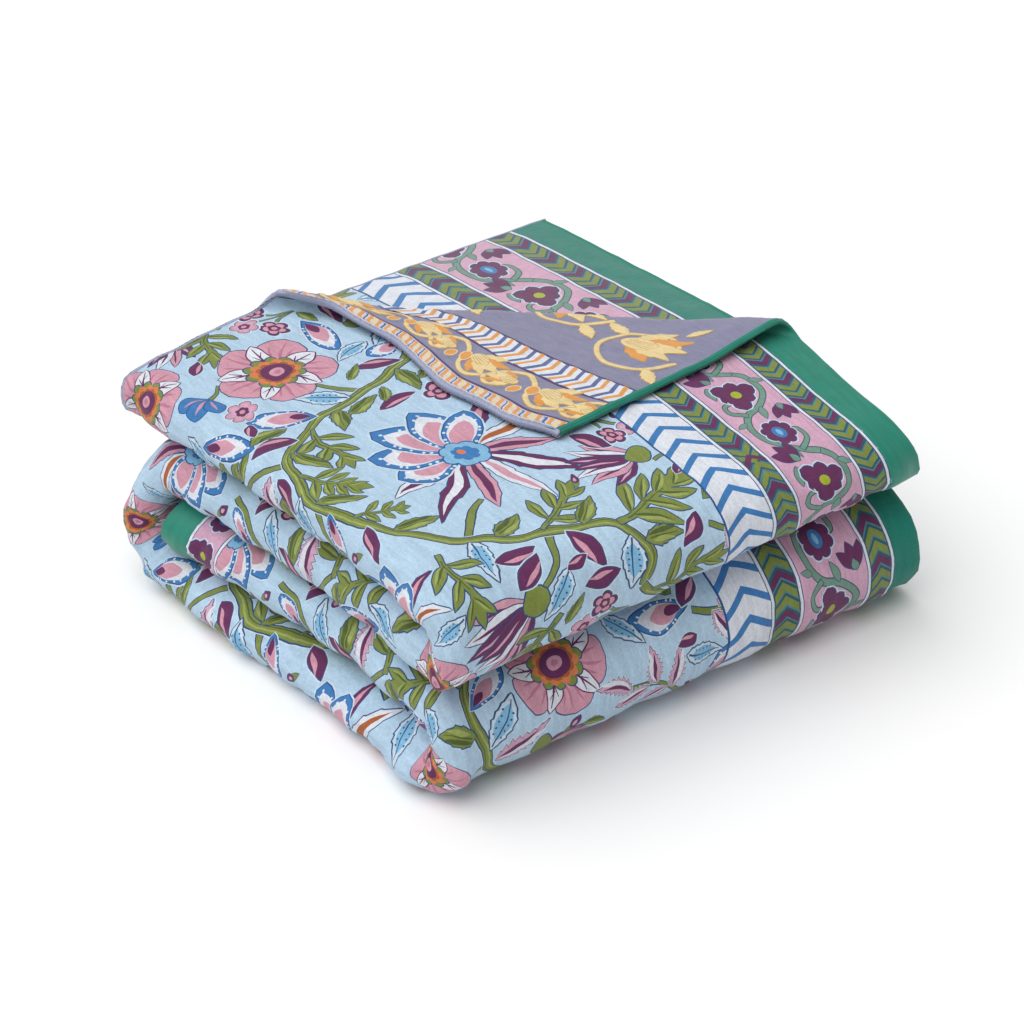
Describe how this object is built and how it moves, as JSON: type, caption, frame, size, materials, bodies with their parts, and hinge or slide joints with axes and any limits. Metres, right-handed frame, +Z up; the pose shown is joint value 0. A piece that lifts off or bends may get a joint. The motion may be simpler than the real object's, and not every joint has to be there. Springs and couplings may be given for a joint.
{
  "type": "jacquard bedspread",
  "caption": "Quilted printed bedspread folded into a low stack, with bound green edges, a figured reverse and one corner turned back on top.",
  "frame": {"origin": "on the surface it rests on, under the middle of the folded stack's box", "axes": "+Z up; the smooth folds face -Y, the rolled folds face -X, and the turned corner lies on top, folded over from the +X +Y corner"},
  "size_m": [0.5186, 0.4964, 0.1988],
  "materials": {
    "printed_cotton": "matte",
    "green_binding": "matte",
    "grey_piping": "matte"
  },
  "bodies": {
    "root": {"quilted_panel": "printed_cotton", "side_strip_top": "green_binding", "side_strip_inner": "green_binding", "end_strip": "green_binding", "end_piping": "grey_piping"}
  },
  "joints": []
}
